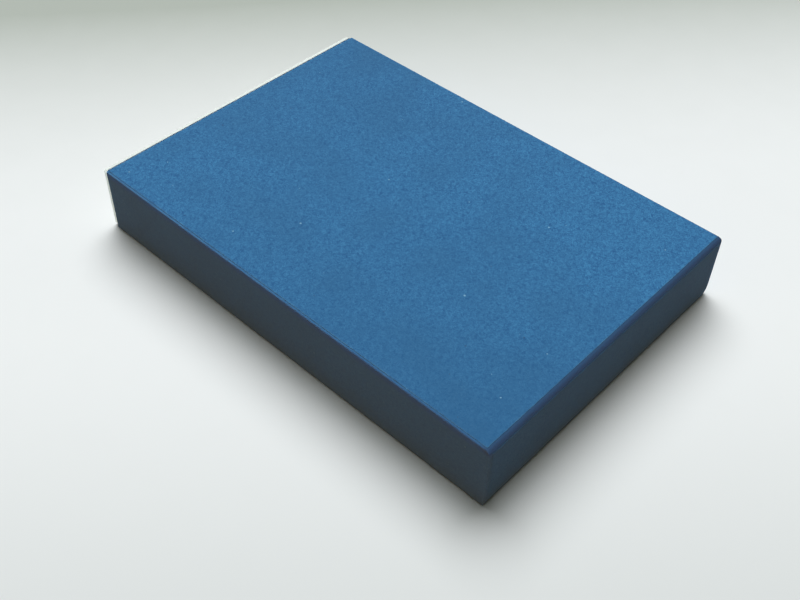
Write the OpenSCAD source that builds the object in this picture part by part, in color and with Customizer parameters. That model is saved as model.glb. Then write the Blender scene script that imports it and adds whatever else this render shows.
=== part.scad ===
// Sliding drawer gift box.
//
// A flat sleeve of greyboard, covered in blue paper, is open at one short end.
// A tray covered in off-white paper slides out of that mouth. Its face closes
// the mouth, stands a little proud of the sleeve and carries a ribbon pull.
//
// Units are millimetres. +Z is up, the mouth and the face are at -Y, and the
// origin is the middle of the sleeve's underside, on the table.

/* [Sleeve] */
// Length of the sleeve, from its mouth to its closed end
sleeve_length = 200; // [120:5:320]
// Width of the sleeve over its long sides
sleeve_width = 140; // [90:5:240]
// Height of the sleeve, from the table to its top
sleeve_height = 30; // [24:1:80]
// Thickness of the sleeve's greyboard
sleeve_board = 2; // [1.2:0.1:3]
// Rounding of the four long edges and of the edges round the mouth
edge_round = 0.8; // [0.6:0.1:1.5]
// Rounding of the edges round the closed end
end_round = 1.6; // [1:0.1:2.5]

/* [Covering papers of the sleeve] */
// Thickness of the blue covering paper
wrap_paper = 0.25; // [0.15:0.05:0.4]
// How far the covering paper is turned in at the mouth
turn_in = 15; // [8:1:30]
// How far the pasted sheets stop short of the rounded edges
sheet_margin = 0.2; // [0.1:0.1:3]
// Thickness of the paper that lines the sleeve
lining_paper = 0.2; // [0.1:0.05:0.4]

/* [Paper tapes at the board joints] */
// Width of each leg of a tape
tape_leg = 7; // [4:0.5:9]
// Thickness of the tapes, which are pressed into the boards
tape_paper = 0.12; // [0.08:0.01:0.2]

/* [Tray] */
// Thickness of the tray's greyboard
tray_board = 1.5; // [1:0.1:2.5]
// Thickness of the off-white covering paper
tray_paper = 0.2; // [0.1:0.05:0.3]
// Rounding of the tray's outer edges and of its rim
tray_round = 0.7; // [0.5:0.1:1.2]
// Thickness of the card that lies on the tray's floor
floor_card = 0.4; // [0.2:0.1:1]
// Gap round that card
card_gap = 0.3; // [0.1:0.1:1]

/* [Running gaps of the tray] */
// Gap on each side
side_gap = 0.5; // [0.3:0.1:1.5]
// Gap underneath
under_gap = 0.3; // [0.2:0.1:0.6]
// Gap above the rim
over_gap = 0.7; // [0.3:0.1:2]
// Gap behind the tray when it is closed
back_gap = 0.8; // [0.3:0.1:2]

/* [Face] */
// Thickness of the face's greyboard
face_board_thick = 1.5; // [1:0.1:3]
// How far the face stops short of the sleeve's outline, all round
face_inset = 0.4; // [0.2:0.1:1.5]
// Radius of the face's four corners
face_corner = 1.5; // [1:0.1:4]
// Gap between the face and the mouth when the tray is closed
face_gap = 0.3; // [0.2:0.1:0.8]

/* [Ribbon pull] */
// Width of the ribbon
ribbon_width = 12; // [8:1:20]
// Thickness of one ply of the ribbon
ribbon_thick = 0.3; // [0.2:0.05:0.4]
// Length of the folded ribbon outside the face
ribbon_reach = 12; // [8:1:20]
// Straight part of that length, next to the face
ribbon_lead = 2; // [1:0.5:4]
// Angle by which the fold hangs down, in degrees
ribbon_droop = 50; // [10:5:60]
// Length of each tail, glued up and down behind the face
ribbon_tail = 7; // [4:1:7.5]
// Clearance round the ribbon in its slit and its pocket
ribbon_gap = 0.1; // [0.05:0.05:0.2]

/* [Hidden] */
$fn = 64;

// Colours
blue_paper = "#3A6F9D";
white_paper = "#D8D9D0";
lining_white = "#E6E4DC";
greyboard = "#8E8A80";
kraft_tape = "#C6A878";
ribbon_blue = "#23507F";

// How far a cut reaches past the surface that it cuts
over = 1;
// Least radius left on an edge under the papers
least_round = 0.05;
// Space left between one tape and the next
tape_space = 1;

// Every block below is [half width, [mouth end y, back end y], [low z, high z]]
function shrink(b, d) = [b[0] - d, [b[1][0] + d, b[1][1] - d], [b[2][0] + d, b[2][1] - d]];
function under(r, d) = max(r - d, least_round);

// The sleeve, layer by layer, from the outside in
mouth_y = -sleeve_length / 2;
end_y = sleeve_length / 2;
wrap_block = [
    sleeve_width / 2,
    [mouth_y, end_y - wrap_paper],
    [wrap_paper, sleeve_height - wrap_paper]
];
board_block = shrink(wrap_block, wrap_paper);
board_edge_round = under(edge_round, wrap_paper);
board_end_round = under(end_round, wrap_paper);
board_half_height = (board_block[2][1] - board_block[2][0]) / 2;
full_x = [-board_block[0], board_block[0]];
full_y = board_block[1];
cavity = [
    board_block[0] - sleeve_board,
    [mouth_y, board_block[1][1] - sleeve_board],
    [board_block[2][0] + sleeve_board, board_block[2][1] - sleeve_board]
];

// Where the pasted sheets stop, measured from the sleeve's outline
long_margin = edge_round + sheet_margin;
end_margin = end_round + sheet_margin;

// The tray, layer by layer
inner_skin = max(wrap_paper, lining_paper);
face_back_y = mouth_y - face_gap;
tray_block = [
    cavity[0] - inner_skin - side_gap,
    [face_back_y, cavity[1][1] - lining_paper - back_gap],
    [cavity[2][0] + inner_skin + under_gap, cavity[2][1] - inner_skin - over_gap]
];
tray_boards = shrink(tray_block, tray_paper);
tray_board_round = under(tray_round, tray_paper);
tray_well = [
    tray_boards[0] - tray_board,
    [tray_boards[1][0] + tray_board, tray_boards[1][1] - tray_board],
    [tray_boards[2][0] + tray_board, tray_block[2][1] + over]
];
tray_inside = [
    tray_well[0] - tray_paper,
    [tray_well[1][0] + tray_paper, tray_well[1][1] - tray_paper],
    tray_well[2]
];
tray_x = [-tray_boards[0], tray_boards[0]];
well_x = [-tray_well[0], tray_well[0]];
tray_wall_z = [tray_well[2][0], tray_boards[2][1]];

// The face, which is glued to the tray's front
face_thick = face_board_thick + 2 * tray_paper;
face_front_y = face_back_y - face_thick;
face_block = [
    sleeve_width / 2 - face_inset,
    [face_front_y, face_back_y],
    [face_inset, sleeve_height - face_inset]
];
face_boards = shrink(face_block, tray_paper);
face_board_corner = under(face_corner, tray_paper);

// The ribbon leaves the face at half its height
ribbon_z = sleeve_height / 2;
ribbon_bend = (ribbon_reach - ribbon_lead) * 180 / (PI * ribbon_droop);
droop_steps = 16;
fold_steps = 8;

// ---- shapes shared by the pieces ----

// Mirrors its children to the negative side of an axis where the flag is 1
module flip(x = 0, y = 0, z = 0) {
    mirror([x, 0, 0]) mirror([0, y, 0]) mirror([0, 0, z]) children();
}

// What a rounding of radius r cuts off a corner that points up and right
module corner_waste(r) {
    difference() {
        square(r + over);
        circle(r);
    }
}

// A rectangle, half to each side of the first axis and over span on the
// second, with its two low and its two high corners rounded
module soft_rect(half, span, r_low, r_high) {
    difference() {
        translate([-half, span[0]]) square([2 * half, span[1] - span[0]]);
        for (left = [0, 1]) flip(x = left) {
            translate([half - r_high, span[1] - r_high]) corner_waste(r_high);
            translate([half - r_low, span[0] + r_low]) flip(y = 1) corner_waste(r_low);
        }
    }
}

// A block with rounded edges: r_long on the four edges along Y, r_low on the
// edges round its mouth end and r_high on those round its back end
module soft_block(b, r_long, r_low, r_high) {
    length = b[1][1] - b[1][0];
    height = b[2][1] - b[2][0];
    intersection() {
        translate([0, b[1][1], 0]) rotate([90, 0, 0])
            linear_extrude(length) soft_rect(b[0], b[2], r_long, r_long);
        translate([0, 0, b[2][0]])
            linear_extrude(height) soft_rect(b[0], b[1], r_low, r_high);
        translate([b[0], 0, b[2][0] + height / 2]) rotate([0, -90, 0])
            linear_extrude(2 * b[0]) soft_rect(height / 2, b[1], r_low, r_high);
    }
}

// A square-edged box between two values on each axis
module span_box(x, y, z) {
    translate([x[0], y[0], z[0]]) cube([x[1] - x[0], y[1] - y[0], z[1] - z[0]]);
}

// The same for one of the blocks above
module plain_block(b) {
    span_box([-b[0], b[0]], b[1], b[2]);
}

// ---- the sleeve ----

// The outside of the sleeve's boards, or a skin's depth under it
module sleeve_board_outside(depth = 0) {
    soft_block(
        shrink(board_block, depth),
        under(board_edge_round, depth),
        under(board_edge_round, depth),
        under(board_end_round, depth)
    );
}

// Copies a form in the upper right quarter to all four long edges
module at_long_edges() {
    for (left = [0, 1], low = [0, 1])
        translate([0, 0, sleeve_height / 2]) flip(x = left, z = low) children();
}

// Where the tapes over the four long joints are pressed in, open outwards
module edge_tape_seats() {
    difference() {
        at_long_edges() span_box(
            [board_block[0] - tape_leg, board_block[0] + over],
            [mouth_y + long_margin, board_block[1][1] - tape_leg - tape_space],
            [board_half_height - tape_leg, board_half_height + over]
        );
        sleeve_board_outside(tape_paper);
    }
}

// The same for the four joints round the closed end
module end_tape_seats() {
    depth = [board_block[1][1] - tape_leg, board_block[1][1] + over];
    free_x = board_block[0] - tape_leg - tape_space;
    free_z = board_half_height - tape_leg - tape_space;
    difference() {
        translate([0, 0, sleeve_height / 2]) union() {
            for (low = [0, 1]) flip(z = low) span_box(
                [-free_x, free_x], depth,
                [board_half_height - tape_leg, board_half_height + over]
            );
            for (left = [0, 1]) flip(x = left) span_box(
                [board_block[0] - tape_leg, board_block[0] + over], depth,
                [-free_z, free_z]
            );
        }
        sleeve_board_outside(tape_paper);
    }
}

// Tapes over the four long joints, flush with the boards
module sleeve_edge_tapes() {
    color(kraft_tape) intersection() {
        sleeve_board_outside();
        edge_tape_seats();
    }
}

// Tapes over the four joints round the closed end
module sleeve_end_tapes() {
    color(kraft_tape) intersection() {
        sleeve_board_outside();
        end_tape_seats();
    }
}

// A board of the sleeve: the part of the shell inside a box, with the tapes
// pressed into it
module sleeve_board_piece(x, y, z) {
    color(greyboard) difference() {
        intersection() {
            sleeve_board_outside();
            span_box(x, y, z);
        }
        edge_tape_seats();
        end_tape_seats();
    }
}

module sleeve_base_board() {
    sleeve_board_piece(full_x, full_y, [board_block[2][0], cavity[2][0]]);
}

module sleeve_top_board() {
    sleeve_board_piece(full_x, full_y, [cavity[2][1], board_block[2][1]]);
}

module sleeve_left_board() {
    sleeve_board_piece([-board_block[0], -cavity[0]], full_y, cavity[2]);
}

module sleeve_right_board() {
    sleeve_board_piece([cavity[0], board_block[0]], full_y, cavity[2]);
}

module sleeve_back_board() {
    sleeve_board_piece([-cavity[0], cavity[0]], [cavity[1][1], board_block[1][1]], cavity[2]);
}

// Blue paper over the whole outside, folded round the mouth and turned in
module sleeve_wrap() {
    fold = shrink(cavity, wrap_paper);
    color(blue_paper) {
        difference() {
            soft_block(wrap_block, edge_round, edge_round, end_round);
            sleeve_board_outside();
            span_box([-fold[0], fold[0]], [mouth_y - over, mouth_y + turn_in], fold[2]);
        }
        difference() {
            span_box([-cavity[0], cavity[0]], [mouth_y + wrap_paper / 2, mouth_y + turn_in], cavity[2]);
            span_box([-fold[0], fold[0]], [mouth_y - over, mouth_y + turn_in + over], fold[2]);
        }
    }
}

// A flat sheet of blue paper pasted on the top or the underside
module flat_sheet(z) {
    x = sleeve_width / 2 - long_margin;
    color(blue_paper) span_box([-x, x], [mouth_y + long_margin, end_y - wrap_paper - end_margin], z);
}

module sleeve_top_sheet() {
    flat_sheet([wrap_block[2][1], sleeve_height]);
}

module sleeve_base_sheet() {
    flat_sheet([0, wrap_block[2][0]]);
}

// The sheet pasted on the closed end
module sleeve_end_sheet() {
    x = sleeve_width / 2 - end_margin;
    z = [wrap_block[2][0] + end_margin, wrap_block[2][1] - end_margin];
    color(blue_paper) span_box([-x, x], [wrap_block[1][1], end_y], z);
}

// Lining paper behind the turned-in edge, with its own closed end
module sleeve_lining() {
    bare = shrink(cavity, lining_paper);
    color(lining_white) difference() {
        span_box([-cavity[0], cavity[0]], [mouth_y + turn_in, cavity[1][1]], cavity[2]);
        span_box([-bare[0], bare[0]], [mouth_y, bare[1][1]], bare[2]);
    }
}

// ---- the tray ----

module tray_board_outside(depth = 0) {
    soft_block(
        shrink(tray_boards, depth),
        under(tray_board_round, depth),
        under(tray_board_round, depth),
        under(tray_board_round, depth)
    );
}

// Where the tapes over the four upright corners are pressed in
module corner_tape_seats() {
    front = [tray_boards[1][0] - over, tray_boards[1][0] + tape_leg];
    back = [tray_boards[1][1] - tape_leg, tray_boards[1][1] + over];
    difference() {
        for (left = [0, 1], end = [front, back]) flip(x = left) span_box(
            [tray_boards[0] - tape_leg, tray_boards[0] + over],
            end,
            [tray_boards[2][0] + tape_space, tray_boards[2][1] - tape_space]
        );
        tray_board_outside(tape_paper);
    }
}

// Tapes over the four upright corners, flush with the boards
module tray_corner_tapes() {
    color(kraft_tape) intersection() {
        tray_board_outside();
        corner_tape_seats();
    }
}

// The shallow pocket behind the face that the ribbon's tails lie in
module ribbon_pocket() {
    x = ribbon_width / 2 + ribbon_gap;
    z = ribbon_tail + ribbon_gap;
    span_box(
        [-x, x],
        [face_back_y - over, face_back_y + ribbon_thick + ribbon_gap],
        [ribbon_z - z, ribbon_z + z]
    );
}

// A board of the tray, with the tapes pressed into it
module tray_board_piece(x, y, z) {
    color(greyboard) difference() {
        intersection() {
            tray_board_outside();
            span_box(x, y, z);
        }
        corner_tape_seats();
        ribbon_pocket();
    }
}

module tray_base_board() {
    tray_board_piece(tray_x, tray_boards[1], [tray_boards[2][0], tray_well[2][0]]);
}

module tray_front_board() {
    tray_board_piece(well_x, [tray_boards[1][0], tray_well[1][0]], tray_wall_z);
}

module tray_back_board() {
    tray_board_piece(well_x, [tray_well[1][1], tray_boards[1][1]], tray_wall_z);
}

module tray_left_board() {
    tray_board_piece([-tray_boards[0], -tray_well[0]], tray_boards[1], tray_wall_z);
}

module tray_right_board() {
    tray_board_piece([tray_well[0], tray_boards[0]], tray_boards[1], tray_wall_z);
}

// Off-white paper under the base, up the walls, over the rim and down inside
module tray_wrap() {
    color(white_paper) difference() {
        soft_block(tray_block, tray_round, tray_round, tray_round);
        difference() {
            tray_board_outside();
            plain_block(tray_well);
        }
        plain_block(tray_inside);
        ribbon_pocket();
    }
}

// Card that covers the bare base board
module tray_floor_card() {
    x = tray_inside[0] - card_gap;
    y = [tray_inside[1][0] + card_gap, tray_inside[1][1] - card_gap];
    color(white_paper) span_box([-x, x], y, [tray_inside[2][0], tray_inside[2][0] + floor_card]);
}

// ---- the face and its ribbon ----

// The slit that the ribbon passes through
module ribbon_slit() {
    x = ribbon_width / 2 + ribbon_gap;
    z = ribbon_thick + ribbon_gap;
    span_box([-x, x], [face_front_y - over, face_back_y + over], [ribbon_z - z, ribbon_z + z]);
}

module face_board_outside() {
    soft_block(face_boards, face_board_corner, tray_board_round, least_round);
}

// The greyboard of the face
module face_board() {
    color(greyboard) difference() {
        face_board_outside();
        ribbon_slit();
    }
}

// Off-white paper all over the face board
module face_wrap() {
    color(white_paper) difference() {
        soft_block(face_block, face_corner, tray_round, tray_paper);
        face_board_outside();
        ribbon_slit();
    }
}

// A point of the ribbon outside the face, s along its middle line and off to
// one side of it: straight at first, then bent down on an arc
function ribbon_point(s, off) =
    s < ribbon_lead
        ? [face_front_y - s, ribbon_z + off]
        : let (a = (s - ribbon_lead) / ribbon_bend * 180 / PI)
            [
                face_front_y - ribbon_lead - (ribbon_bend + off) * sin(a),
                ribbon_z - ribbon_bend + (ribbon_bend + off) * cos(a)
            ];

// The round fold at the ribbon's end
function ribbon_fold(a) =
    let (
        end = ribbon_point(ribbon_reach, 0),
        turn = 90 - ribbon_droop - a
    )
    end + ribbon_thick * [-cos(turn), sin(turn)];

// The ribbon: two plies folded at the outer end, through the slit, with one
// tail glued up and the other down behind the face
module pull_ribbon() {
    s = [for (i = [0 : droop_steps]) ribbon_lead + (ribbon_reach - ribbon_lead) * i / droop_steps];
    color(ribbon_blue)
        translate([-ribbon_width / 2, 0, 0]) rotate([90, 0, 90]) linear_extrude(ribbon_width) {
            polygon(concat(
                [[face_back_y, ribbon_z + ribbon_thick]],
                [for (v = s) ribbon_point(v, ribbon_thick)],
                [for (i = [1 : fold_steps - 1]) ribbon_fold(180 * i / fold_steps)],
                [for (i = [droop_steps : -1 : 0]) ribbon_point(s[i], -ribbon_thick)],
                [[face_back_y, ribbon_z - ribbon_thick]]
            ));
            translate([face_back_y, ribbon_z - ribbon_tail])
                square([ribbon_thick, 2 * ribbon_tail]);
        }
}

sleeve_base_board();
sleeve_top_board();
sleeve_left_board();
sleeve_right_board();
sleeve_back_board();
sleeve_edge_tapes();
sleeve_end_tapes();
sleeve_wrap();
sleeve_top_sheet();
sleeve_base_sheet();
sleeve_end_sheet();
sleeve_lining();
tray_base_board();
tray_front_board();
tray_back_board();
tray_left_board();
tray_right_board();
tray_corner_tapes();
tray_wrap();
tray_floor_card();
face_board();
face_wrap();
pull_ribbon();
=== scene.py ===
# Sliding drawer gift box: papers, boards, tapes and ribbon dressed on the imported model.
import math

import bmesh
import bpy
import numpy as np
from mathutils import Matrix, Vector


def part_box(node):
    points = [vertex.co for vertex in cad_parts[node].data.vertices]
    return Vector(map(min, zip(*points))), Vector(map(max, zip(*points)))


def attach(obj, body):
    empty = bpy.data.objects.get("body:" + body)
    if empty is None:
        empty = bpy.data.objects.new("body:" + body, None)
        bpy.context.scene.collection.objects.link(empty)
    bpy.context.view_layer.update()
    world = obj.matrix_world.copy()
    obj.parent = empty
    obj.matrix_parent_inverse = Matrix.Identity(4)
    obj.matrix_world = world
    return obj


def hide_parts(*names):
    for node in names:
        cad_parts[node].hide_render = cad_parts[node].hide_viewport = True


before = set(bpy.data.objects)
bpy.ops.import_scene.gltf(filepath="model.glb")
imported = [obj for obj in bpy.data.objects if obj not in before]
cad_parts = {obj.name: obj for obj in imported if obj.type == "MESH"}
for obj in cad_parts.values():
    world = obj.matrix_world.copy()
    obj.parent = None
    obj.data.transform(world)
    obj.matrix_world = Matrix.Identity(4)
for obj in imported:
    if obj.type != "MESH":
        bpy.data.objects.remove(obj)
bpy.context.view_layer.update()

mm = 0.001


# ---- Greyboard of the sleeve ----
# Five plates of greyboard, pressed in layers from mixed waste paper and cut with a knife. They are
# glued edge to edge into a flat tube with one closed end, and every face ends up under paper.

def add_node(tree, kind, inputs, **settings):
    """Adds a shader node. Each input is a value, or the output of another node that feeds it."""
    made = tree.nodes.new("ShaderNode" + kind)
    for name, value in settings.items():
        setattr(made, name, value)
    for name, value in inputs.items():
        if isinstance(value, bpy.types.NodeSocket):
            tree.links.new(value, made.inputs[name])
        else:
            made.inputs[name].default_value = value
    return made


def maths(tree, operation, first, second=0.0, clamp=False):
    """operation(first, second), kept between 0 and 1 where clamp is set"""
    return add_node(tree, "Math", {0: first, 1: second}, operation=operation, use_clamp=clamp).outputs[0]


def scaled(tree, value, factor, offset=0.0):
    """value * factor + offset"""
    return add_node(tree, "Math", {0: value, 1: factor, 2: offset}, operation="MULTIPLY_ADD").outputs[0]


def moved(tree, place, shift):
    """place + shift"""
    return add_node(tree, "VectorMath", {0: place, 1: shift}, operation="ADD").outputs[0]


def magnified(tree, place, factor):
    """place * factor"""
    return add_node(tree, "VectorMath", {0: place, "Scale": factor}, operation="SCALE").outputs[0]


def noise(tree, place, scale, detail=0.0, roughness=0.5):
    """Soft noise between 0 and 1, with scale waves a unit of place, and its colour"""
    inputs = {"Vector": place, "Scale": scale, "Detail": detail, "Roughness": roughness}
    return add_node(tree, "TexNoise", inputs).outputs


def rise(tree, value, low, high):
    """0 below low, 1 above high, and a smooth step between them"""
    inputs = {"Value": value, "From Min": low, "From Max": high}
    return add_node(tree, "MapRange", inputs, interpolation_type="SMOOTHSTEP").outputs[0]


def blend(tree, share, first, second):
    """The colour first where share is 0 and second where it is 1"""
    return add_node(tree, "Mix", {0: share, 6: first, 7: second}, data_type="RGBA").outputs[2]


def tinted(tree, base, mask, strength, colour):
    """The colour base, and colour over it where mask is 1, as strong as strength says"""
    return blend(tree, scaled(tree, mask, strength), base, (*colour, 1))


def node_group(name, inputs, outputs):
    """A shader group: inputs maps a socket's name to its kind and value, outputs to its kind"""
    group = bpy.data.node_groups.new(name, "ShaderNodeTree")
    for label, (kind, value) in inputs.items():
        socket = group.interface.new_socket(label, in_out="INPUT", socket_type="NodeSocket" + kind)
        socket.default_value = value
    for label, kind in outputs.items():
        group.interface.new_socket(label, in_out="OUTPUT", socket_type="NodeSocket" + kind)
    entry = group.nodes.new("NodeGroupInput")
    leaving = group.nodes.new("NodeGroupOutput")
    return group, entry.outputs, leaving.inputs


def use_group(tree, group, inputs):
    """Places a group in a material and returns its outputs"""
    return add_node(tree, "Group", inputs, node_tree=group).outputs


def strands(tree, place, shift, thinness):
    """Short curved strands: where a noise crosses a half, broken up by a second noise.
    strand = max(0, 1 - thinness * |noise - 1/2|) * step(second noise)"""
    wander = noise(tree, moved(tree, place, shift), 0.7, 1.0)["Fac"]
    off = maths(tree, "ABSOLUTE", maths(tree, "SUBTRACT", wander, 0.5))
    ridge = maths(tree, "SUBTRACT", 1.0, maths(tree, "MULTIPLY", off, thinness), clamp=True)
    second_shift = (shift[1] + 4.7, shift[2] - 8.1, shift[0] + 2.3)
    here = rise(tree, noise(tree, moved(tree, place, second_shift), 0.55)["Fac"], 0.48, 0.6)
    return maths(tree, "MULTIPLY", ridge, here)


def make_fibre_mat():
    """Fibres of paper or board, Spacing apart: Tone is their light and dark around a half, Height
    is how far they stand up, and Cloud is the slow unevenness of the sheet."""
    inputs = {"Place": ("Vector", (0, 0, 0)), "Spacing": ("Float", 1 * mm)}
    outputs = {"Tone": "Float", "Height": "Float", "Cloud": "Float"}
    group, given, put = node_group("fibre_mat", inputs, outputs)
    place = magnified(group, given["Place"], maths(group, "DIVIDE", 1.0, given["Spacing"]))
    # a slow swirl bends the fibres
    swirl = moved(group, noise(group, place, 0.45, 1.0)["Color"], (-0.5, -0.5, -0.5))
    bent = moved(group, place, magnified(group, swirl, 2.4))

    def layer(coarse_shift, fine_shift):
        """Coarse and fine strands, each at its own place in the noise"""
        coarse = strands(group, bent, coarse_shift, 24)
        return maths(group, "ADD", coarse, strands(group, bent, fine_shift, 30))

    grain = noise(group, bent, 1.1, 2.0, 0.6)["Fac"]
    light = layer((3, 17, 8), (31, 2, 5))
    dark = layer((-9, 21, 12), (15, -4, 27))
    fibres = scaled(group, maths(group, "SUBTRACT", light, dark), 0.6)
    tone = maths(group, "ADD", scaled(group, grain, 0.64, 0.18), fibres, clamp=True)
    group.links.new(tone, put["Tone"])
    group.links.new(maths(group, "ADD", grain, scaled(group, light, 0.3)), put["Height"])
    group.links.new(noise(group, place, 0.035, 2.0)["Fac"], put["Cloud"])
    return group


def make_stray_flecks():
    """Stray flecks in cells Spacing apart: 1 inside a fleck. Share is the part of the cells that
    hold one, and Size the fleck's radius as a part of Spacing."""
    inputs = {
        "Place": ("Vector", (0, 0, 0)),
        "Spacing": ("Float", 6 * mm),
        "Size": ("Float", 0.05),
        "Share": ("Float", 0.3),
    }
    group, given, put = node_group("stray_flecks", inputs, {"Fleck": "Float"})
    per_spacing = maths(group, "DIVIDE", 1.0, given["Spacing"])
    cells = add_node(group, "TexVoronoi", {"Vector": given["Place"], "Scale": per_spacing}).outputs
    # the cell's own colour decides whether it holds a fleck, and how large that is
    dice = add_node(group, "SeparateColor", {0: cells["Color"]}).outputs
    chosen = maths(group, "LESS_THAN", dice[0], given["Share"])
    radius = maths(group, "MULTIPLY", given["Size"], maths(group, "ADD", dice[1], 0.4))
    inside = maths(group, "SUBTRACT", 1.0, maths(group, "DIVIDE", cells["Distance"], radius), clamp=True)
    soft = rise(group, inside, 0.0, 0.5)
    group.links.new(maths(group, "MULTIPLY", soft, chosen), put["Fleck"])
    return group


fibre_mat = make_fibre_mat()
stray_flecks = make_stray_flecks()


def flecks(tree, place, spacing, size, share):
    """Places the stray flecks in a material: 1 inside a fleck"""
    inputs = {"Place": place, "Spacing": spacing, "Size": size, "Share": share}
    return use_group(tree, stray_flecks, inputs)[0]


def new_material(name):
    """A material with its Principled BSDF and the place on the piece"""
    made = bpy.data.materials.new(name)
    made.use_nodes = True
    tree = made.node_tree
    skin = tree.nodes["Principled BSDF"]
    place = add_node(tree, "TexCoord", {}).outputs["Object"]
    return made, tree, skin, place


def relief(tree, skin, height, depth):
    """Feeds the skin's normal with a height map that is depth metres deep"""
    bump = add_node(tree, "Bump", {"Height": height, "Distance": depth, "Strength": 1.0})
    tree.links.new(bump.outputs[0], skin.inputs["Normal"])


def dress(node, material):
    """Gives a CAD node its material"""
    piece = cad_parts[node]
    piece.data.materials.clear()
    piece.data.materials.append(material)


def make_greyboard():
    """Grey-brown pulp with pale and dark flecks of the paper that it was made from"""
    made, tree, skin, place = new_material("greyboard")
    mat = use_group(tree, fibre_mat, {"Place": place, "Spacing": 1.4 * mm})
    pale = flecks(tree, place, 3 * mm, 0.13, 0.5)
    dark = flecks(tree, moved(tree, place, (0.31, 0.17, 0.23)), 4 * mm, 0.1, 0.4)
    pulp = (0.30, 0.27, 0.22, 1)
    fibres = blend(tree, mat["Tone"], (0.17, 0.155, 0.13, 1), (0.36, 0.335, 0.29, 1))
    clouded = blend(tree, scaled(tree, mat["Cloud"], 0.4), fibres, pulp)
    flecked = tinted(tree, clouded, pale, 0.6, (0.52, 0.5, 0.46))
    specked = tinted(tree, flecked, dark, 0.6, (0.08, 0.08, 0.09))
    tree.links.new(specked, skin.inputs["Base Color"])
    skin.inputs["Roughness"].default_value = 0.92
    skin.inputs["Specular IOR Level"].default_value = 0.25
    relief(tree, skin, mat["Height"], 0.05 * mm)
    return made


greyboard = make_greyboard()


def dress_boards(start):
    """Gives greyboard to the boards whose names begin with start"""
    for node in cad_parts:
        if node.startswith(start) and node.endswith("board"):
            dress(node, greyboard)


dress_boards("sleeve")


# ---- Tapes over the sleeve's joints ----
# Gummed kraft paper tape, wetted and pressed over the four long joints and round the closed end, so
# that it lies flush in the board. It is brown, smooth and faintly ribbed from the paper machine.

def make_kraft_tape():
    """Kraft paper: brown fibres, the fine lines of the paper machine and a slight gum shine"""
    made, tree, skin, place = new_material("kraft_tape")
    mat = use_group(tree, fibre_mat, {"Place": place, "Spacing": 1.0 * mm})
    ribs = add_node(tree, "TexWave", {"Vector": place, "Scale": 420.0, "Distortion": 1.5, "Detail": 1.0})
    tone = maths(tree, "ADD", scaled(tree, mat["Tone"], 0.8), scaled(tree, ribs.outputs[1], 0.2))
    kraft = blend(tree, tone, (0.33, 0.2, 0.1, 1), (0.66, 0.45, 0.26, 1))
    tree.links.new(kraft, skin.inputs["Base Color"])
    tree.links.new(scaled(tree, mat["Tone"], 0.2, 0.5), skin.inputs["Roughness"])
    relief(tree, skin, tone, 0.02 * mm)
    return made


kraft_tape = make_kraft_tape()
dress("sleeve_edge_tapes", kraft_tape)
dress("sleeve_end_tapes", kraft_tape)


# ---- Blue covering paper of the sleeve ----
# One sheet of dyed, felt-marked paper round the boards: folded over the closed end, folded round the
# edges of the mouth and turned in there. Its creases are rubbed a little paler by handling, with a
# painted highlight on the long edges' crowns, and painted shade and light along its top edges.

def line(start, end, steps=1):
    """Points from start to end, all but the start: start + t * (end - start)"""
    share = np.arange(1, steps + 1)[:, None] / steps
    return np.array(start) + share * (np.array(end) - np.array(start))


def arc(centre, radius, first, last, steps, fullness=2.0):
    """Points on an arc, all but the first: centre + radius * (cos a, sin a), a in degrees, with the
    sizes of cos and sin raised to 2 / fullness. 2 is a circle, and 1 a straight bevel."""
    angle = np.radians(first + (last - first) * np.arange(1, steps + 1) / steps)
    out = np.stack([np.cos(angle), np.sin(angle)], -1)
    return np.array(centre) + radius * np.sign(out) * np.abs(out) ** (2 / fullness)


def ramp(value, start, end):
    """0 up to start, 1 from end on, and a straight line between them. end may be the lower one."""
    return np.clip((value - start) / (end - start), 0, 1)


def evenly(count):
    """count places between -1 and 1, without the ends"""
    return np.linspace(-1, 1, count + 2)[1:-1]


def rounded_loop(across, along, corner_steps):
    """The way round a rounded rectangle, counterclockwise, as five numbers a point: a, b, c, d and e
    put it at (a * half_1 + b * corner, c * half_2 + d * corner), and e is 1 in the middle of a
    corner's arc and 0 at its ends. across and along are the places of the points on the sides, from
    -1 to 1: on the sides that run along the first axis and on those along the second."""
    parts = []
    turn = np.linspace(0, 0.5 * math.pi, corner_steps + 1)
    for quarter in range(4):
        angle = 0.5 * math.pi * quarter
        out = np.round([math.cos(angle), math.sin(angle)])
        way = np.array([-out[1], out[0]])
        side = way[:, None] * (along if quarter % 2 == 0 else across)
        parts.append([out[0] + side[0], -side[0], out[1] + side[1], -side[1], 0 * side[0]])
        sign = (out + way)[:, None] * np.ones_like(turn)
        rounding = np.array([np.cos(angle + turn), np.sin(angle + turn)]) - sign
        parts.append([sign[0], rounding[0], sign[1], rounding[1], np.sin(2 * turn)])
    return np.concatenate([np.stack(part, -1) for part in parts])


def rings(rows, loop, centre, axes):
    """Points on rings round rounded rectangles, one ring a row of half_1, half_2, corner, level: the
    loop's rule gives the place on the first two axes from the centre, and level is the third's."""
    points = np.zeros((len(rows), len(loop), 3))
    points[..., axes[0]] = centre[0] + np.outer(rows[:, 0], loop[:, 0]) + np.outer(rows[:, 2], loop[:, 1])
    points[..., axes[1]] = centre[1] + np.outer(rows[:, 1], loop[:, 2]) + np.outer(rows[:, 2], loop[:, 3])
    points[..., axes[2]] = rows[:, 3, None]
    return points


def inset_rows(path, half, corner, inner_corner):
    """Rings for a path of (inset, level): the half sizes shrink by the inset, and so does the corner
    until it reaches inner_corner."""
    inset, level = path[:, 0], path[:, 1]
    half_1 = np.maximum(half[0] - inset, 0)
    half_2 = np.maximum(half[1] - inset, 0)
    radius = np.minimum(np.maximum(corner - inset, inner_corner), np.minimum(half_1, half_2))
    return np.stack([half_1, half_2, radius, level], -1)


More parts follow.
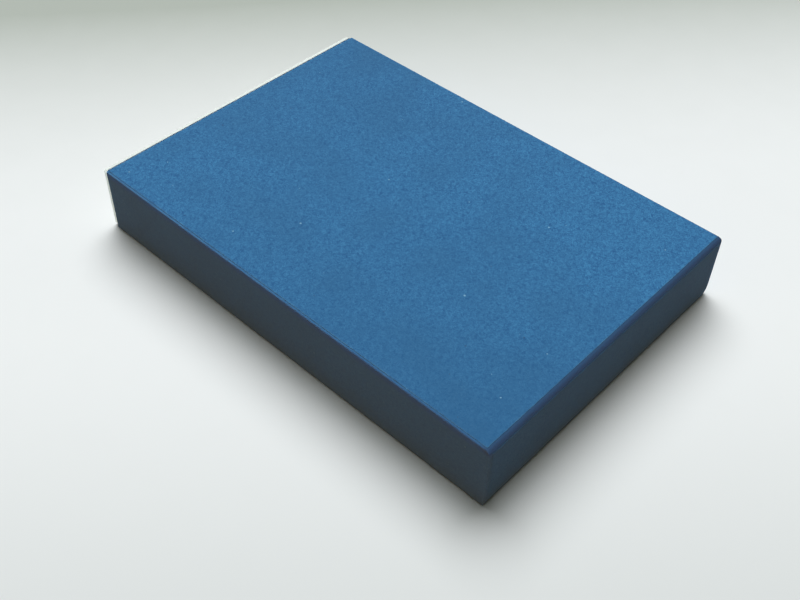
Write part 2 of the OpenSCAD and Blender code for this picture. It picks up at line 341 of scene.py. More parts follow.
def soft_waves(points, wave, seed):
    """Slow waves around a half, mostly between 0 and 1: 0.5 + 0.8 * the mean of count cosines of
    k . p + phase, with k of length 2 pi / wave, give or take, in random directions"""
    count = 10
    draw = np.random.default_rng(seed)
    way = draw.normal(size=(3, count))
    way = way / np.linalg.norm(way, axis=0) * 2 * math.pi / wave * draw.uniform(0.6, 1.5, count)
    return 0.5 + 0.8 * np.cos(points @ way + draw.uniform(0, 2 * math.pi, count)).mean(-1)


def surface(name, points, marks, closed=False):
    """A piece on a grid of rings: each face joins two neighbours on a ring to those on the next, and
    the last ring to the first where closed is set. Rings of no width close the surface. marks are
    values a point, kept as attributes."""
    count, around = points.shape[:2]
    index = np.arange(count * around).reshape(count, around)
    here, there = (index, np.roll(index, -1, 0)) if closed else (index[:-1], index[1:])
    faces = np.stack([here, np.roll(here, -1, 1), np.roll(there, -1, 1), there], -1).reshape(-1, 4)
    mesh = bpy.data.meshes.new(name)
    mesh.from_pydata(points.reshape(-1, 3), [], faces)
    for label, values in marks.items():
        kept = mesh.attributes.new(label, "FLOAT", "POINT")
        kept.data.foreach_set("value", np.broadcast_to(values, (count, around)).astype(np.float32).ravel())
    work = bmesh.new()
    work.from_mesh(mesh)
    bmesh.ops.remove_doubles(work, verts=work.verts, dist=0.002 * mm)
    bmesh.ops.recalc_face_normals(work, faces=work.faces)
    work.to_mesh(mesh)
    work.free()
    mesh.shade_smooth()
    piece = bpy.data.objects.new(name, mesh)
    bpy.context.scene.collection.objects.link(piece)
    return piece


def finish_piece(piece, material, body, node):
    """Material, body, slot and the CAD node that the piece stands for"""
    piece.data.materials.append(material)
    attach(piece, body)
    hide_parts(node)


def make_wear_and_highlight():
    """Paler creases: Crease is 1 on the fold, and Wear is where the crease is paler, in patches: worn
    dye, and on the crowns of the long edges a painted highlight as well.
    wear = step(crease + amount - 1 + 1.2 * (noise - 1/2))"""
    inputs = {"Crease": ("Float", 0.0), "Place": ("Vector", (0, 0, 0)), "Amount": ("Float", 0.5)}
    group, given, put = node_group("wear_and_highlight", inputs, {"Wear": "Float"})
    patches = noise(group, given["Place"], 140.0, 3.0, 0.65)["Fac"]
    reach = maths(group, "ADD", given["Crease"], maths(group, "SUBTRACT", given["Amount"], 1.0))
    uneven = maths(group, "ADD", reach, scaled(group, patches, 1.2, -0.6))
    group.links.new(rise(group, uneven, 0.0, 0.9), put["Wear"])
    return group


wear_and_highlight = make_wear_and_highlight()


def mark(tree, label):
    """A mark that surface() kept on the piece, and 0 where the piece has none of that name"""
    return add_node(tree, "Attribute", {}, attribute_name=label).outputs["Fac"]


def make_blue_paper(name, contrast, depth, painted_falloff):
    """Dyed paper: blue fibres in two tones, as far apart as contrast says, with rare pale and dark
    flecks. Creases are paler in patches: worn dye, and on the crowns of the long edges a painted
    highlight as well. A band of painted light makes the paper bluer just under the top edges, and
    the pressed mark paints shade on the fold over the closed end and along the long edges' crowns.
    The dye took unevenly in slow clouds, and a painted falloff of the light darkens the sheet towards
    the near corner by the last argument * x * (0.9 + 18.5 * y), in metres."""
    made, tree, skin, place = new_material(name)
    mat = use_group(tree, fibre_mat, {"Place": place, "Spacing": 0.85 * mm})
    pale = flecks(tree, place, 7 * mm, 0.055, 0.5)
    dark = flecks(tree, moved(tree, place, (0.11, 0.27, 0.19)), 6 * mm, 0.06, 0.5)
    # paler creases: worn dye, and on the long edges' crowns a painted highlight as well
    wear = use_group(tree, wear_and_highlight, {"Crease": mark(tree, "crease"), "Place": place, "Amount": 0.75})[0]
    tone = scaled(tree, rise(tree, mat["Tone"], 0.25, 0.75), contrast, 0.5 - 0.5 * contrast)
    fibres = blend(tree, tone, (0.0, 0.086, 0.250, 1), (0.022, 0.188, 0.414, 1))
    axis = add_node(tree, "SeparateXYZ", {0: place}).outputs
    # painted shade: a falloff of the light over the sheet, darker towards the corner at +x, +y; the clouds
    # below are the dye's own
    painted_falloff_shape = maths(tree, "MULTIPLY", axis[0], scaled(tree, axis[1], 18.5, 0.9))
    cloud = scaled(tree, rise(tree, mat["Cloud"], 0.3, 0.75), 0.32, 0.12)
    uneven = maths(tree, "ADD", cloud, scaled(tree, painted_falloff_shape, painted_falloff))
    clouded_and_shaded = blend(tree, uneven, fibres, (0.004, 0.095, 0.240, 1))
    rubbed = tinted(tree, clouded_and_shaded, wear, 0.6, (0.07, 0.26, 0.48))
    flecked = tinted(tree, rubbed, pale, 0.62 * contrast, (0.22, 0.45, 0.62))
    specked = tinted(tree, flecked, dark, 0.6 * contrast, (0.012, 0.06, 0.15))
    # painted light: a bluer band just under the top edges
    painted_lit_band = tinted(tree, specked, mark(tree, "painted_lit_band"), 0.85, (0.0, 0.14, 0.55))
    # painted shade: darker on the fold over the closed end's upper edge and along the long edges' crowns
    folded = tinted(tree, painted_lit_band, mark(tree, "pressed"), 0.85, (0.003, 0.048, 0.140))
    tree.links.new(folded, skin.inputs["Base Color"])
    tree.links.new(scaled(tree, mat["Tone"], -0.15, 0.95), skin.inputs["Roughness"])
    skin.inputs["Specular IOR Level"].default_value = 0.4
    relief(tree, skin, mat["Height"], depth)
    return made


# drawn tight round the boards, its grain is pulled flat
taut_paper = make_blue_paper("blue_paper_taut", contrast=0.25, depth=0.01 * mm, painted_falloff=0.0)

# how the paper is rounded over the long edges, the closed end's upper edge and the fold at the mouth,
# and what is left of that at the base's edges and at the closed end's other edges
edge_round = 0.8 * mm
end_round = 1.8 * mm
end_fullness = 1.6
fold_round = 0.3 * mm
base_crisp = 0.4
end_crisp = 0.08

wrap_low, wrap_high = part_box("sleeve_wrap")
lining_low, lining_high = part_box("sleeve_lining")
top_low, top_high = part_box("sleeve_top_sheet")
wrap_paper = top_high.z - top_low.z
wrap_half = ((wrap_high.x - wrap_low.x) / 2, (wrap_high.z - wrap_low.z) / 2)
wrap_middle = (0.0, (wrap_high.z + wrap_low.z) / 2)
mouth_y = wrap_low.y
closed_y = wrap_high.y
turned_y = lining_low.y
cavity_inset = wrap_high.x - lining_high.x
fold_inset = cavity_inset + wrap_paper


def covering_path():
    """The paper's path of (inset, y), and how many of its points are outside. It starts in the middle
    of the closed end, turns over its edge, runs to the mouth and folds into it, and comes back along
    the boards, one paper's thickness below."""
    under_end = closed_y - wrap_paper
    under_round = edge_round - wrap_paper
    outside = [
        [(wrap_half[1], closed_y)],
        line((wrap_half[1], closed_y), (end_round, closed_y), 4),
        arc((end_round, closed_y - end_round), end_round, 90, 180, 12, end_fullness),
        line((0, closed_y - end_round), (0, mouth_y + edge_round), 64),
        arc((edge_round, mouth_y + edge_round), edge_round, 180, 270, 6),
    ]
    turned_in = [
        line((edge_round, mouth_y), (fold_inset - fold_round, mouth_y), 2),
        arc((fold_inset - fold_round, mouth_y + fold_round), fold_round, 270, 360, 4),
        line((fold_inset, mouth_y + fold_round), (fold_inset, turned_y), 5),
        line((fold_inset, turned_y), (cavity_inset, turned_y)),
    ]
    hidden = [
        line((cavity_inset, turned_y), (cavity_inset, mouth_y + wrap_paper), 2),
        line((cavity_inset, mouth_y + wrap_paper), (edge_round, mouth_y + wrap_paper)),
        arc((edge_round, mouth_y + edge_round), under_round, 270, 180, 3),
        line((wrap_paper, mouth_y + edge_round), (wrap_paper, closed_y - end_round), 4),
        arc((end_round, closed_y - end_round), end_round - wrap_paper, 180, 90, 4, end_fullness),
        line((end_round, under_end), (wrap_half[1], under_end), 2),
    ]
    return np.concatenate(outside + turned_in + hidden), sum(len(part) for part in outside)


def sharpen_end(points, rows, path, loop):
    """Only the closed end's upper edge is rolled over. At its upright and lower edges the rings are
    drawn out again, by all but end_crisp of their inset."""
    rolled = np.minimum(path[:, 0], end_round) * (path[:, 1] > closed_y - end_round - wrap_paper)
    fading = ramp(rows[:, 1], 0, wrap_half[1] - end_round)
    points[..., 0] += np.outer(rolled, loop[:, 0]) * (1 - end_crisp)
    points[..., 2] += np.outer(rolled * fading, np.minimum(loop[:, 2], 0)) * (1 - end_crisp)


def knock_corner(points, below):
    """Rounds the lower corner of the closed end at -x, which has been knocked. In the plane of x and
    z, points in the corner's square of side r are drawn onto the arc of radius r, less below. r rises
    to 0.9 mm near the end and by 3.6 mm more at it, so that the paper stays clear of the boards."""
    from_end = closed_y - points[..., 1]
    slight = 0.9 * mm * ramp(from_end, 6 * mm, 2 * mm)
    full = 3.6 * mm * ramp(from_end, end_round, 0) ** 2.5
    radius = slight + full
    off = np.stack([points[..., 0] + wrap_half[0], points[..., 2] - wrap_low.z], -1) - radius[..., None]
    length = np.maximum(np.linalg.norm(off, axis=-1), 1e-9)
    share = np.clip((radius - below) / length, 0, 1)
    drawn = np.where((off < 0).all(-1), share, 1)[..., None] * off - off
    points[..., 0] += drawn[..., 0]
    points[..., 2] += drawn[..., 1]


def covering_marks(points, path, loop, outside):
    """Marks from 0 to 1, on the outside only. The long edges are creased by
    (0.1 + 0.9 * run^0.7) * e^0.4, with run from 0 at the closed end to 1 at the mouth and e from the
    loop, and less so at the base, and the mouth's edge by 4 * t * (1 - t) over its arc; along the long
    edges the paler crease is wear and a painted highlight as well. The pressed mark paints shade on
    the fold over the closed end's upper edge and a shade line at the crown of the long edges, and
    just under both a band of painted light makes the paper bluer."""
    run = ramp(path[:, 1], closed_y, mouth_y)
    shown = outside[:, None]
    round_edge = np.abs(loop[:, 4]) ** 0.4 * np.where(loop[:, 2] < 0, 0.3, 1.0)
    # the long edges' crease is paler: wear, and a painted highlight as well
    long_edges = np.outer(outside * (0.1 + 0.9 * run ** 0.7) * (path[:, 0] < edge_round), round_edge)
    at_mouth = ramp(path[:, 1], mouth_y + edge_round, mouth_y)
    mouth_edge = 4 * at_mouth * (1 - at_mouth) * outside * (path[:, 0] < edge_round)

    from_top = wrap_high.z - points[..., 2]
    from_side = wrap_half[0] - np.abs(points[..., 0])
    # painted shade on the fold over the closed end's upper edge, and below it a painted shade line along
    # the crowns of the long edges
    folded = ramp(closed_y - points[..., 1], 2.1 * mm, 1.9 * mm)
    nearer = ((1 - run) ** 2)[:, None]
    crown_width = (0.15 + 0.7 * nearer) * mm
    crown = ramp(from_side, 1.3 * crown_width, 0.3 * crown_width) * (0.35 + 0.2 * nearer)
    crown_start = np.isclose(np.abs(loop[:, 0]), 1) & np.isclose(loop[:, 2], 1) & np.isclose(loop[:, 3], 0)
    pressed = np.maximum(np.maximum(folded, crown), 0.35 * crown_start)
    return {
        "crease": np.maximum(long_edges, mouth_edge[:, None]),
        "pressed": pressed * ramp(from_top, 2.2 * mm, 0.8 * mm) * shown,
        # painted light: a bluer band 0.8 to 3.2 mm under the top edges
        "painted_lit_band": ramp(from_top, 0, 0.8 * mm) * ramp(from_top, 3.2 * mm, 0.8 * mm) ** 2 * shown,
    }


def covering_paper():
    """The skin as rings round the box's long axis, along covering_path. Its long walls sink a little
    along their middle, unevenly, as pasted paper on board does: sink * waves * sin(pi * run)^0.4."""
    path, shown_count = covering_path()
    outside = np.arange(len(path)) < shown_count
    loop = rounded_loop(evenly(69), evenly(13), 6)
    # the edges round the base are crisper than those round the top
    under = loop[:, 2] < 0
    loop[under, 1] *= base_crisp
    loop[under, 3] *= base_crisp
    rows = inset_rows(path, wrap_half, edge_round, 0.05 * mm)
    points = rings(rows, loop, wrap_middle, (0, 2, 1))
    sharpen_end(points, rows, path, loop)
    knock_corner(points, np.where(outside, 0.0, wrap_paper)[:, None])
    marks = covering_marks(points, path, loop, outside)
    sink = 0.07 * mm * soft_waves(points, 45 * mm, 11)
    along = np.sin(math.pi * ramp(path[:, 1], mouth_y, closed_y)) ** 0.4
    straight_wall = (loop[:, 4] == 0) & (np.abs(loop[:, 0]) == 1)
    middle = ramp(np.abs(loop[:, 1] + loop[:, 3]), 0.2, 0) * straight_wall
    sunk = np.outer(outside * (path[:, 0] < edge_round) * along, middle)
    points[..., 0] -= np.sign(points[..., 0]) * sink * sunk
    return surface("covering_paper", points, marks=marks)


finish_piece(covering_paper(), taut_paper, "sleeve", "sleeve_wrap")


# ---- Blue sheets pasted on the top, the base and the closed end ----
# Flat sheets of the same paper, cut a little smaller than the faces and pasted on last. They hide
# the folds of the covering paper, and their cut edges make a fine line just inside the box's edges.

def pasted_sheet(name, node, flat_axis, outward, sink, wave_seed, extra=None, rubbed=1.0):
    """A sheet on rings that shrink to a line: the path of (inset, level) starts in the middle of the
    underside, turns up round the cut edge and runs inwards. The face sinks by
    sink * waves * (1 - exp(-inset / settle)), by extra(points), and at the cut edge by
    0.3 * thickness * exp(-inset / press). The cut edge is creased by rubbed * exp(-inset / wear)."""
    cut = 0.1 * mm
    settle = 4 * mm
    press = 0.35 * mm
    wear = 0.25 * mm
    point_gap = 1.3 * mm
    ring_gap = 2.4 * mm
    low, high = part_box(node)
    axes = [axis for axis in range(3) if axis != flat_axis]
    half = [(high[axis] - low[axis]) / 2 for axis in axes]
    middle = [(high[axis] + low[axis]) / 2 for axis in axes]
    glued, shown = (low[flat_axis], high[flat_axis]) if outward > 0 else (high[flat_axis], low[flat_axis])
    thick = abs(shown - glued)
    turn = np.radians(np.linspace(0, 90, 4))
    near_rim = np.linspace(0.3 * mm, 3 * mm, 7)
    inwards = np.linspace(5 * mm, min(half), int(min(half) / ring_gap))
    insets = np.concatenate([near_rim, inwards])
    path = np.concatenate([
        [(min(half), glued), (0.02 * mm, glued), (0, glued + outward * cut)],
        np.stack([cut - cut * np.cos(turn), shown - outward * cut * (1 - np.sin(turn))], -1),
        np.stack([insets, np.full(len(insets), shown)], -1),
    ])
    counts = [max(6, int(size / point_gap)) for size in half]
    loop = rounded_loop(evenly(counts[0]), evenly(counts[1]), 3)
    points = rings(inset_rows(path, half, 0.3 * mm, 0.2 * mm), loop, middle, (*axes, flat_axis))
    inset = path[:, 0, None]
    upper = (np.arange(len(path)) > 2)[:, None]
    depth = sink * soft_waves(points, 38 * mm, wave_seed) * (1 - np.exp(-inset / settle))
    if extra is not None:
        depth = depth + extra(points)
    pressed = 0.3 * thick * np.exp(-inset / press)
    points[..., flat_axis] -= outward * upper * np.clip(depth + pressed, 0, 0.6 * thick)
    return surface(name, points, marks={"crease": rubbed * upper * np.exp(-inset / wear)})


def flap_relief(points):
    """What the folded flaps under the end sheet do to it: the two long flaps stop flap_gap apart,
    and the sheet sinks between them, less so over the short flaps at both ends.
    dip * ramp(half gap - |z - middle|) * (0.35 + 0.65 * ramp(x of the short flaps - |x|))"""
    flap_gap = 5 * mm
    short_flap = 14 * mm
    soft = 0.7 * mm
    dip = 0.06 * mm
    past_gap = np.abs(points[..., 2] - wrap_middle[1]) - flap_gap / 2
    past_flap = np.abs(points[..., 0]) - (wrap_half[0] - short_flap)
    between = ramp(past_gap, soft / 2, -soft / 2)
    inner = ramp(past_flap, soft / 2, -soft / 2)
    return dip * between * (0.35 + 0.65 * inner)


# the top's paper carries the painted falloff of the light towards the near corner
blue_paper = make_blue_paper("blue_paper", contrast=1.12, depth=0.035 * mm, painted_falloff=3.0)
top_sheet = pasted_sheet("top_sheet", "sleeve_top_sheet", 2, 1, sink=0.09 * mm, wave_seed=3)
finish_piece(top_sheet, blue_paper, "sleeve", "sleeve_top_sheet")
base_sheet = pasted_sheet("base_sheet", "sleeve_base_sheet", 2, -1, sink=0.05 * mm, wave_seed=5)
finish_piece(base_sheet, blue_paper, "sleeve", "sleeve_base_sheet")
end_sheet = pasted_sheet("end_sheet", "sleeve_end_sheet", 1, 1, 0.04 * mm, 8, flap_relief, rubbed=0.0)
finish_piece(end_sheet, taut_paper, "sleeve", "sleeve_end_sheet")


# ---- Lining paper in the sleeve ----
# Thin smooth white paper, pasted on the inside of the boards before the tube is closed. It starts
# behind the turned-in blue paper and covers the inside of the closed end too.

def make_plain_paper(name, dark, light, spacing, depth, gloss):
    """Undyed paper: two close tones, faint clouds, and a fine tooth"""
    made, tree, skin, place = new_material(name)
    mat = use_group(tree, fibre_mat, {"Place": place, "Spacing": spacing})
    fibres = blend(tree, rise(tree, mat["Tone"], 0.2, 0.8), (*dark, 1), (*light, 1))
    clouded = tinted(tree, fibres, mat["Cloud"], 0.4, dark)
    flecked = tinted(tree, clouded, flecks(tree, place, 9 * mm, 0.03, 0.35), 0.3, (0.35, 0.3, 0.22))
    tree.links.new(flecked, skin.inputs["Base Color"])
    tree.links.new(scaled(tree, mat["Tone"], -0.15, 1 - gloss), skin.inputs["Roughness"])
    skin.inputs["Specular IOR Level"].default_value = 0.3
    relief(tree, skin, mat["Height"], depth)
    return made


lining_paper = make_plain_paper(
    "lining_paper",
    dark=(0.66, 0.65, 0.60),
    light=(0.76, 0.75, 0.70),
    spacing=0.8 * mm,
    depth=0.012 * mm,
    gloss=0.15,
)
dress("sleeve_lining", lining_paper)


# ---- Greyboards and tapes of the tray ----
# Base, front, back and sides of thinner greyboard, glued up as an open tray. A strip of kraft tape
# is pressed round each of the four upright corners.

dress_boards("tray")
dress("tray_corner_tapes", kraft_tape)


# ---- Covering paper of the tray ----
# Off-white uncoated paper under the base, up the walls, over the rim and down inside to the floor.
# At each corner one side's paper is cut and lapped over the other's, which leaves a low step.

white_paper = make_plain_paper(
    "white_paper",
    dark=(0.60, 0.63, 0.605),
    light=(0.70, 0.73, 0.705),
    spacing=0.9 * mm,
    depth=0.02 * mm,
    gloss=0.08,
)
tray_board = 1.5 * mm
tray_paper = 0.2 * mm
tray_round = 0.7 * mm
rim_fold = 0.35 * mm
tray_low, tray_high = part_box("tray_wrap")
card_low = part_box("tray_floor_card")[0]


def tray_paths():
    """The paper's path of (inset, z) in three parts: outside from the base's middle out and up the
    wall, inside over the rim and down to the floor, and back along the boards, out of sight."""
    wall = tray_board + 2 * tray_paper
    base, rim, floor = tray_low.z, tray_high.z, card_low.z
    half_width = (tray_high.x - tray_low.x) / 2
    board_round = tray_round - tray_paper
    outside = [
        [(half_width, base)],
        line((half_width, base), (tray_round, base), 16),
        arc((tray_round, base + tray_round), tray_round, 270, 180, 5),
        line((0, base + tray_round), (0, rim - tray_round), 10),
        arc((tray_round, rim - tray_round), tray_round, 180, 90, 5),
    ]
    inside = [
        line((tray_round, rim), (wall - rim_fold, rim)),
        arc((wall - rim_fold, rim - rim_fold), rim_fold, 90, 0, 4),
        line((wall, rim - rim_fold), (wall, floor), 10),
    ]
    hidden = [
        line((wall, floor), (wall - tray_paper, floor)),
        line((wall - tray_paper, floor), (wall - tray_paper, rim - tray_paper)),
        line((wall - tray_paper, rim - tray_paper), (tray_round, rim - tray_paper)),
        arc((tray_round, rim - tray_round), board_round, 90, 180, 3),
        line((tray_paper, rim - tray_round), (tray_paper, base + tray_round), 2),
        arc((tray_round, base + tray_round), board_round, 180, 270, 3),
        line((tray_round, base + tray_paper), (half_width, base + tray_paper), 2),
    ]
    return [np.concatenate(part) for part in (outside, inside, hidden)]


def tray_paper_skin():
    """The skin as rings round the tray's upright axis, along tray_paths. Inside the long walls the
    lapped paper stands lap_step proud, and the walls sink by slack * waves on both sides."""
    lap = 7 * mm
    lap_step = 0.12 * mm
    lap_edge = 0.15 * mm
    slack = 0.05 * mm
    half = ((tray_high.x - tray_low.x) / 2, (tray_high.y - tray_low.y) / 2)
    middle = ((tray_high.x + tray_low.x) / 2, (tray_high.y + tray_low.y) / 2)
    outside, inside, hidden = tray_paths()
    path = np.concatenate([outside, inside, hidden])
    # on the long walls, extra points stand on both sides of the lapped paper's edge
    lap_places = 1 - np.array([lap - lap_edge, lap + lap_edge]) / half[1]
    along = np.sort(np.concatenate([evenly(75), lap_places, -lap_places]))
    loop = rounded_loop(evenly(49), along, 5)
    points = rings(inset_rows(path, half, tray_round, 0.25 * mm), loop, middle, (0, 1, 2))
    order = np.arange(len(path))
    z = path[:, 1]
    is_outside = order < len(outside)
    shown = order < len(outside) + len(inside)
    outer_wall = is_outside & (z > tray_low.z + tray_round / 2) & (z < tray_high.z - tray_round / 2)
    inner_wall = shown & ~is_outside & (z < tray_high.z - rim_fold / 2)
    long_wall = (np.abs(loop[:, 0]) == 1) & (loop[:, 4] == 0)
    lapped = long_wall & (np.abs(loop[:, 2]) > 1 - lap / half[1])
    points[..., 0] -= np.sign(points[..., 0]) * lap_step * np.outer(inner_wall, lapped)
    sunk = slack * soft_waves(points, 30 * mm, 21) * np.outer(outer_wall | inner_wall, long_wall)
    points[..., 0] -= np.sign(points[..., 0]) * sunk
    at_rim = ramp(z, tray_high.z - tray_round, tray_high.z) * shown
    crease = np.maximum(np.outer(is_outside, loop[:, 4]), at_rim[:, None])
    return surface("tray_paper", points, marks={"crease": crease})


finish_piece(tray_paper_skin(), white_paper, "drawer", "tray_wrap")


# ---- Card on the tray's floor ----
# A thin white card, cut a little smaller than the floor and laid in, which hides the cut edges of
# the turned-in paper and the bare base board.

white_card = make_plain_paper(
    "floor_card",
    dark=(0.68, 0.68, 0.64),
    light=(0.77, 0.77, 0.73),
    spacing=1.1 * mm,
    depth=0.01 * mm,
    gloss=0.2,
)
floor_card = pasted_sheet("floor_card", "tray_floor_card", 2, 1, sink=0.12 * mm, wave_seed=14)
finish_piece(floor_card, white_card, "drawer", "tray_floor_card")


# ---- Face of the drawer ----
# A plate of greyboard covered all over in the off-white paper, glued to the tray's front. It stops
# just short of the sleeve's outline, stands proud of it, and has a slit for the ribbon.

dress("face_board", greyboard)
face_corner = 1.5 * mm
face_low, face_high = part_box("face_wrap")
ribbon_low, ribbon_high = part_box("pull_ribbon")
slit_half = (ribbon_high.x + 0.1 * mm, 0.4 * mm)
slit_centre = (face_high.z + face_low.z) / 2


def face_paper():
    """The skin as rings round the face's thickness. It starts at the slit on the front, runs out to
    the outline, over the edge, and in again on the back to the slit, and comes back one paper's
    thickness inside, so that the last ring joins the first. The front sinks by slack * waves."""
    half = ((face_high.x - face_low.x) / 2, (face_high.z - face_low.z) / 2)
    front, back = face_low.y, face_high.y
    slit_corner = 0.1 * mm
    dip = 0.15 * mm
    slack = 0.05 * mm
    face_steps = 9

    def slit_ring(grow, y):
        """The slit's outline at the depth y, larger all round by grow"""
        return [(slit_half[0] + grow, slit_half[1] + grow, slit_corner + grow, y)]

    def outline(path):
        """Rings along the face's outline for a path of (inset, y)"""
        return inset_rows(np.array(path), half, face_corner, 0.05 * mm)

    def between(first, last):
        """Rings from the ring first to the ring last, without these two"""
        share = np.linspace(0, 1, face_steps + 2)[1:-1, None]
        return np.array(first) + share * (np.array(last) - np.array(first))

    over_edge = outline(np.concatenate([
        [(tray_round, front)],
        arc((tray_round, front + tray_round), tray_round, 270, 180, 5),
        line((0, front + tray_round), (0, back - tray_paper), 2),
        arc((tray_paper, back - tray_paper), tray_paper, 180, 90, 3),
    ]))
    under_edge = outline(np.concatenate([
        [(tray_paper, back - tray_paper)],
        line((tray_paper, back - tray_paper), (tray_paper, front + tray_round), 1),
        arc((tray_round, front + tray_round), tray_round - tray_paper, 180, 270, 3),
    ]))
    rows = np.concatenate([
        slit_ring(0, front + dip),
        slit_ring(dip, front),
        between(slit_ring(dip, front)[0], over_edge[0]),
        over_edge,
        between(over_edge[-1], slit_ring(0, back)[0]),
        slit_ring(0, back),
        slit_ring(0, back - tray_paper),
        under_edge,
        slit_ring(0, front + tray_paper),
    ])
    loop = rounded_loop(evenly(69), evenly(15), 5)
    points = rings(rows, loop, (0.0, slit_centre), (0, 2, 1))
    order = np.arange(len(rows))
    first_edge = 2 + face_steps
    on_front = (order > 1) & (order < first_edge)
    points[..., 1] += slack * soft_waves(points, 35 * mm, 31) * on_front[:, None]
    edge = (rows[:, 0] > half[0] - tray_round) & (order < first_edge + len(over_edge))
    front_edge = edge & (rows[:, 3] < front + tray_round)
    crease = np.maximum(np.outer(edge, loop[:, 4]), front_edge[:, None])
    return surface("face_paper", points, closed=True, marks={"crease": crease})


finish_piece(face_paper(), white_paper, "drawer", "face_wrap")


# ---- Ribbon pull ----
# Grosgrain ribbon, 12 mm wide, with a rib across it at every weft. It is folded double, goes through
# the slit, and its two tails are glued up and down the back of the face.

ribbon_thick = 0.3 * mm
ribbon_tail = 7 * mm
ribbon_reach = 12 * mm
ribbon_lead = 2 * mm
ribbon_droop = 50
rib_pitch = 0.6 * mm
thread_pitch = 0.16 * mm


def ribbon_route():
    """The middle line of the cloth as (y, z), from the upper tail's end to the lower tail's end: down
    behind the face, through the slit, straight for ribbon_lead, down on an arc of ribbon_droop
    degrees, round the fold and back below."""
    ply = ribbon_thick / 2
    turn = 2 * ply
    glued_y = ribbon_high.y - ply
    lead_y = face_low.y - ribbon_lead
    droop = math.radians(ribbon_droop)
    bend = (ribbon_reach - ribbon_lead) / droop

    def hanging(off, angle):
        """Points on the arc of the hanging end, off from its middle line"""
        return np.stack([
            lead_y - (bend + off) * np.sin(angle),
            slit_centre - bend + (bend + off) * np.cos(angle),
        ], -1)

    def one_ply(side):
        """The upper ply for 1 and the lower one for -1, from the tail's end to the fold"""
        tail_end = (glued_y, slit_centre + side * ribbon_tail)
        level = slit_centre + side * ply
        return np.concatenate([
            [tail_end],
            line(tail_end, (glued_y, level + side * turn), 3),
            arc((glued_y - turn, level + side * turn), turn, 0, -90 * side, 4),
            line((glued_y - turn, level), (lead_y, level), 3),
            hanging(side * ply, np.linspace(0, droop, 12)[1:]),
        ])

    around = np.radians(np.linspace(0, 180, 7))[1:-1, None]
    out = np.array([-math.sin(droop), math.cos(droop)])
    ahead = np.array([-math.cos(droop), -math.sin(droop)])
    fold = hanging(0, droop) + ply * (np.cos(around) * out + np.sin(around) * ahead)
    return np.concatenate([one_ply(1), fold, one_ply(-1)[::-1]])


def grosgrain():
    """The cloth as rings along its route. A ring is a rounded rectangle, as wide as the ribbon, and
    its thickness swells at every rib: 0.72 + 0.28 * |sin(pi * s / pitch)| of the full thickness."""
    selvedge = 0.04 * mm
    side_corner = 0.12 * mm
    rows_a_rib = 6
    route = ribbon_route()
    step = np.linalg.norm(np.diff(route, axis=0), axis=1)
    reached = np.concatenate([[0], np.cumsum(step)])
    length = reached[-1]
    s = np.linspace(0, length, int(length / rib_pitch) * rows_a_rib)
    y = np.interp(s, reached, route[:, 0])
    z = np.interp(s, reached, route[:, 1])
    way = np.stack([np.gradient(y, s), np.gradient(z, s)], -1)
    way /= np.linalg.norm(way, axis=1)[:, None]
    rib = np.abs(np.sin(math.pi * s / rib_pitch))
    half_thick = ribbon_thick / 2 * (0.72 + 0.28 * rib)
    half_thick[[0, -1]] = 0
    half_wide = (ribbon_high.x - ribbon_low.x) / 2 - selvedge * (1 - rib)
    corner = np.minimum(half_thick, side_corner)
    loop = rounded_loop(evenly(23), [0.0], 3)
    flat = rings(np.stack([half_wide, half_thick, corner, s], -1), loop, (0, 0), (0, 2, 1))
    points = np.stack([
        flat[..., 0],
        y[:, None] - flat[..., 2] * way[:, 1, None],
        z[:, None] + flat[..., 2] * way[:, 0, None],
    ], -1)
    return surface("grosgrain_pull", points, marks={"run": flat[..., 1]}), length


def make_ribbon_cloth():
    """Ribbed silk-like cloth, fine warp threads across the ribs, a soft sheen, and painted shade
    between the ribs and between the threads
    """
    made, tree, skin, place = new_material("ribbon")
    across = add_node(tree, "SeparateXYZ", {0: place}).outputs[0]

    def ridges(along, pitch):
        """|sin(pi * along / pitch)|: 1 on a rib or thread, and 0 between two"""
        return maths(tree, "ABSOLUTE", maths(tree, "SINE", scaled(tree, along, math.pi / pitch)))

    rib = ridges(mark(tree, "run"), rib_pitch)
    thread = ridges(across, thread_pitch)
    uneven = noise(tree, place, 900.0, 2.0)["Fac"]
    # painted shade: darker between the ribs and between the warp threads
    tone = maths(tree, "MULTIPLY", rib, scaled(tree, thread, 0.35, 0.55))
    rib_shade_and_tone = maths(tree, "ADD", tone, scaled(tree, uneven, 0.2), clamp=True)
    silk = blend(tree, rib_shade_and_tone, (0.008, 0.028, 0.075, 1), (0.035, 0.12, 0.27, 1))
    tree.links.new(silk, skin.inputs["Base Color"])
    tree.links.new(scaled(tree, thread, -0.2, 0.7), skin.inputs["Roughness"])
    skin.inputs["Sheen Weight"].default_value = 0.25
    relief(tree, skin, thread, 0.02 * mm)
    return made


ribbon_cloth = make_ribbon_cloth()
pull, ribbon_length = grosgrain()
finish_piece(pull, ribbon_cloth, "drawer", "pull_ribbon")


# ---- Table, light and camera ----
# A pale matt table under a wide, soft light from behind and above the box, as from a window. The
# camera stands where the photograph's did.

